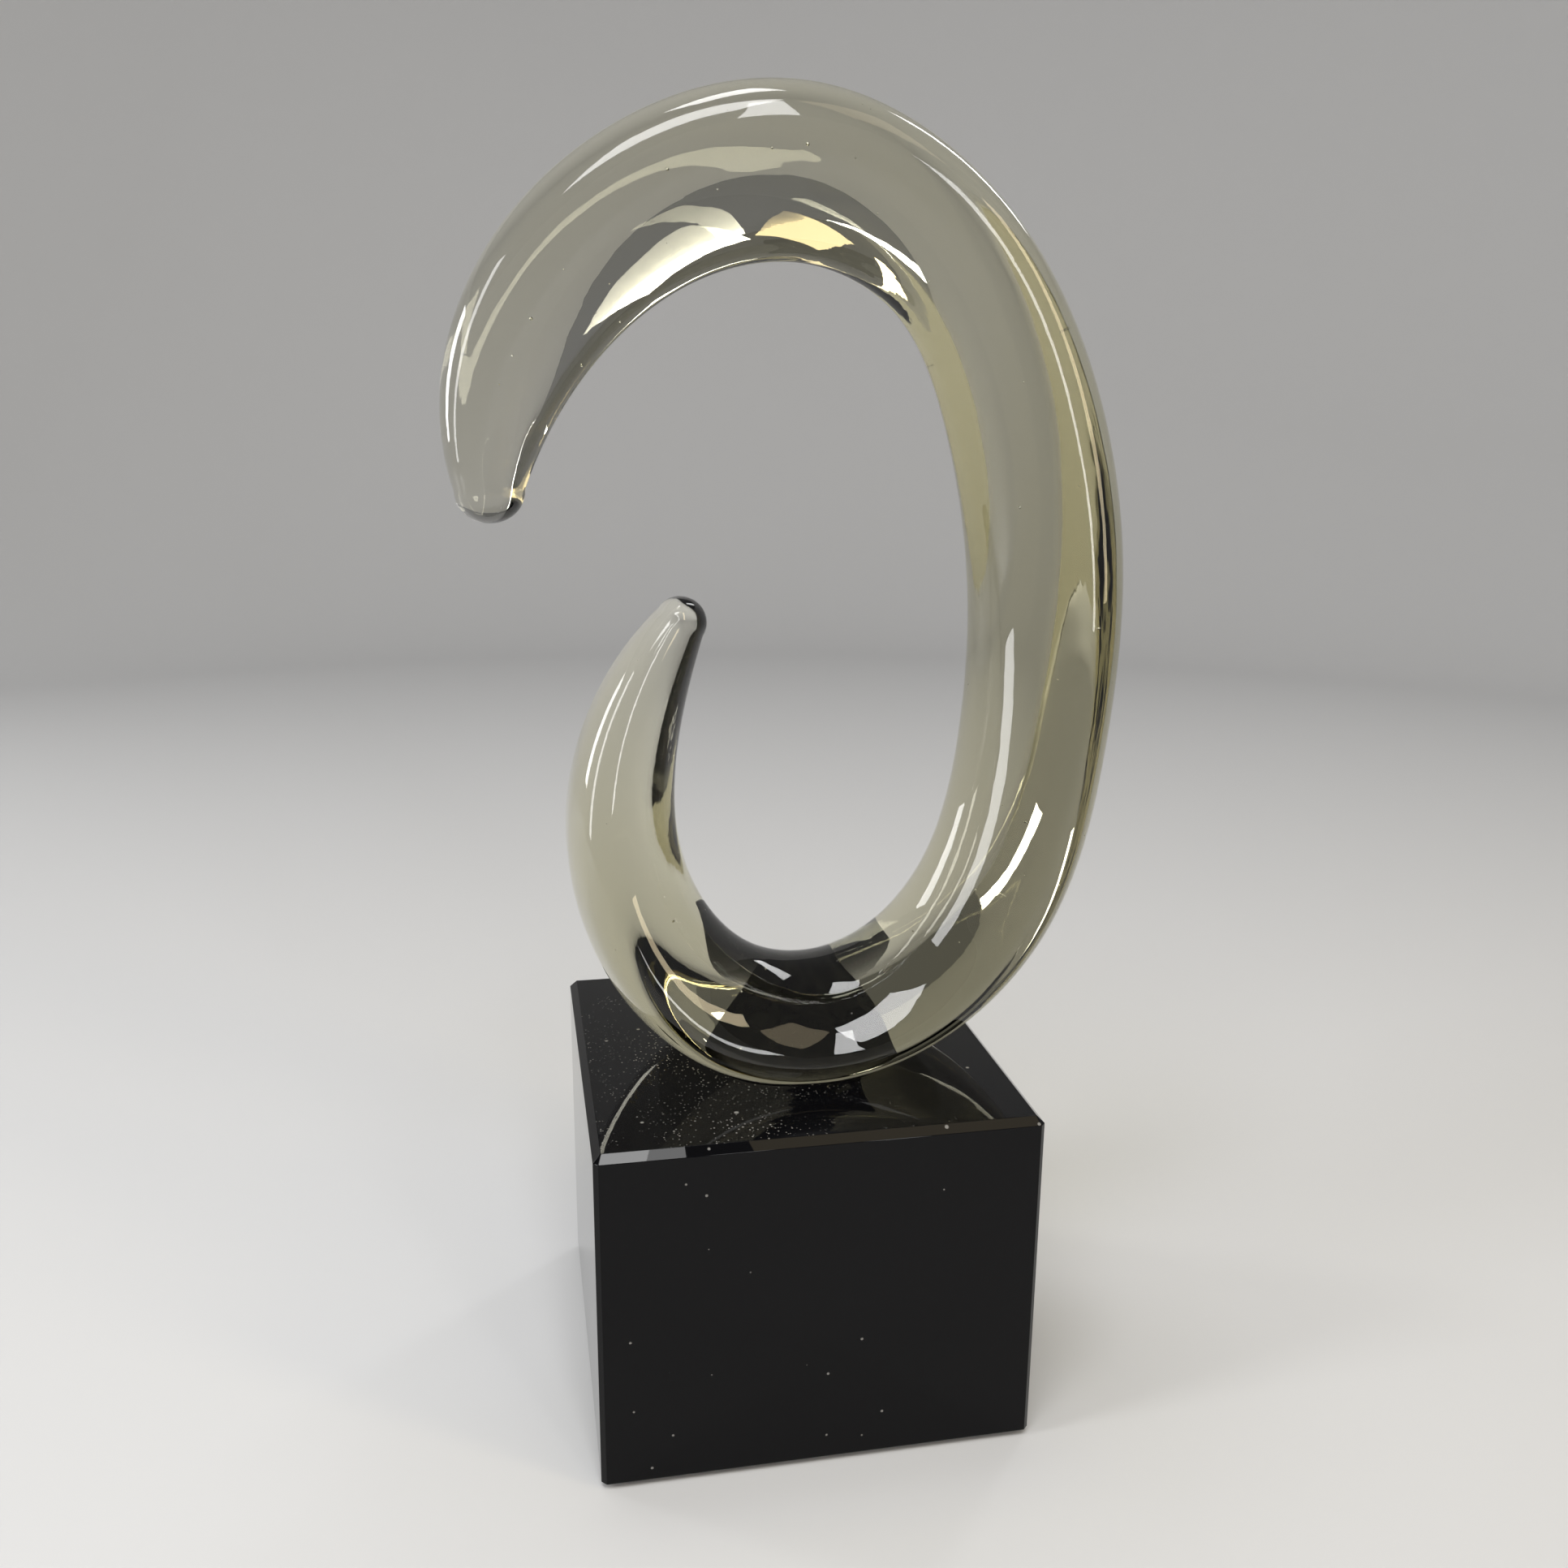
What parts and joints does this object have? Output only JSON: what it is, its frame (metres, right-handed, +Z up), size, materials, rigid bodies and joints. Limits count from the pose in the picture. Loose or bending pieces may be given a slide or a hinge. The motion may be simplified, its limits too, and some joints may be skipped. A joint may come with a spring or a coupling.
{
  "type": "glass loop sculpture",
  "caption": "Free-standing ornament: an open, tapered loop of clear glass on a polished black glass block.",
  "frame": {"origin": "middle of the underside of the felt pad that the sculpture stands on", "axes": "+Z up, -Y towards the block's front face, the loop lies in the XZ plane and opens towards -X"},
  "size_m": [0.1226, 0.08, 0.2405],
  "materials": {
    "clear_glass": "fire-polished, clear with a faint smoky olive tint",
    "black_glass": "opaque, ground flat and polished",
    "clear_adhesive": "clear cured film",
    "felt": "pressed black felt"
  },
  "bodies": {
    "root": {"felt_pad": "felt", "base_block": "black_glass", "bond_film": "clear_adhesive", "glass_loop": "clear_glass"}
  },
  "joints": []
}
